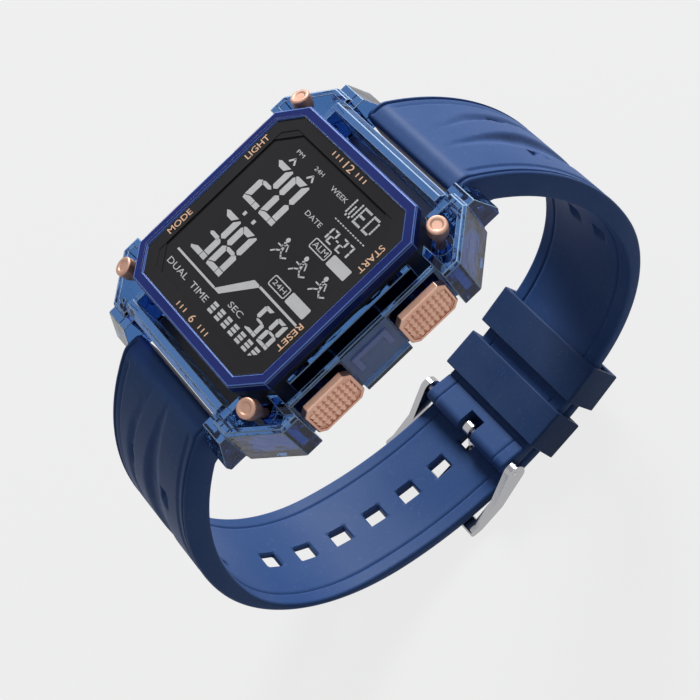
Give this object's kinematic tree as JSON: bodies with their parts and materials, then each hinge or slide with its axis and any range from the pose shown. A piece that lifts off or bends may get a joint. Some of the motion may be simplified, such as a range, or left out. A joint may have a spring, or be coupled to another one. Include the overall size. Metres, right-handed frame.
{
  "type": "digital watch",
  "caption": "Digital wristwatch with a see-through octagonal case, side pushers and a buckled silicone strap.",
  "frame": {"origin": "centre of the case back's outer face", "axes": "+Z out of the dial, +Y towards 12 o'clock, +X towards 3 o'clock"},
  "size_m": [0.0486, 0.0915, 0.0831],
  "materials": {
    "clear_blue": "see-through, polished",
    "ring_blue": "satin",
    "case_black": "satin",
    "smoked_glass": "polished",
    "mask_black": "printed",
    "lcd_dark": "dark display with pale segments",
    "light_plate": "frosted",
    "rose_gold": "satin, plated",
    "back_steel": "brushed",
    "small_steel": "bright",
    "buckle_steel": "polished",
    "strap_rubber": "matt silicone",
    "seal_rubber": "matt",
    "strip_rubber": "banded",
    "board": "lacquered",
    "chip_black": "resin",
    "module_white": "moulded",
    "lamp_clear": "moulded",
    "contact_brass": "sprung sheet"
  },
  "bodies": {
    "watch": {"case_frame": "clear_blue", "case_barrel": "case_black", "bezel_ring": "ring_blue", "front_glass": "smoked_glass", "corner_posts": "rose_gold", "side_plate_3": "case_black", "side_plate_9": "case_black", "back_gasket": "seal_rubber", "case_back": "back_steel", "case_back_screws": "small_steel", "front_mask": "mask_black", "lcd_panel": "lcd_dark", "backlight": "light_plate", "connector_strips": "strip_rubber", "module_frame": "module_white", "circuit_board": "board", "display_chip": "chip_black", "quartz_crystal": "small_steel", "lamp": "lamp_clear", "battery": "small_steel", "battery_contact": "contact_brass", "battery_clip": "small_steel", "buzzer_disc": "contact_brass", "buzzer_spring": "small_steel", "button_springs": "small_steel", "button_contacts": "contact_brass", "long_strap": "strap_rubber", "short_strap": "strap_rubber", "spring_bar_12": "small_steel", "spring_bar_6": "small_steel"},
    "start_pusher": {"start_button": "rose_gold", "start_button_seal": "seal_rubber", "start_button_clip": "small_steel"},
    "reset_pusher": {"reset_button": "rose_gold", "reset_button_seal": "seal_rubber", "reset_button_clip": "small_steel"},
    "light_pusher": {"light_button": "rose_gold", "light_button_seal": "seal_rubber", "light_button_clip": "small_steel"},
    "mode_pusher": {"mode_button": "rose_gold", "mode_button_seal": "seal_rubber", "mode_button_clip": "small_steel"},
    "buckle": {"buckle_frame": "buckle_steel", "buckle_bar": "buckle_steel"},
    "prong": {"buckle_prong": "buckle_steel"},
    "near_keeper": {"keeper_by_buckle": "strap_rubber"},
    "tail_keeper": {"keeper_by_tail": "strap_rubber"}
  },
  "joints": [
    {"name": "start_press", "type": "slide", "parent": "watch", "child": "start_pusher", "axis": [-1, 0, 0], "range_m": [0, 0.0005], "stiffness_N_per_m": 1500, "springref_m": -0.0004},
    {"name": "reset_press", "type": "slide", "parent": "watch", "child": "reset_pusher", "axis": [-1, 0, 0], "range_m": [0, 0.0005], "stiffness_N_per_m": 1500, "springref_m": -0.0004},
    {"name": "light_press", "type": "slide", "parent": "watch", "child": "light_pusher", "axis": [1, 0, 0], "range_m": [0, 0.0005], "stiffness_N_per_m": 1500, "springref_m": -0.0004},
    {"name": "mode_press", "type": "slide", "parent": "watch", "child": "mode_pusher", "axis": [1, 0, 0], "range_m": [0, 0.0005], "stiffness_N_per_m": 1500, "springref_m": -0.0004},
    {"name": "buckle_swing", "type": "hinge", "parent": "watch", "child": "buckle", "pos_m": [0, 0.003, -0.06129], "axis": [1, 0, 0], "range_deg": [0, 8]},
    {"name": "prong_swing", "type": "hinge", "parent": "buckle", "child": "prong", "pos_m": [0, 0.003, -0.06129], "axis": [1, 0, 0], "range_deg": [0, 8]},
    {"name": "near_keeper_slide", "type": "slide", "parent": "watch", "child": "near_keeper", "axis": [0, 0.9861, 0.1659], "range_m": [-0.001, 0.001]},
    {"name": "tail_keeper_slide", "type": "slide", "parent": "watch", "child": "tail_keeper", "axis": [0, 0.954, 0.2996], "range_m": [-0.001, 0.002]}
  ]
}
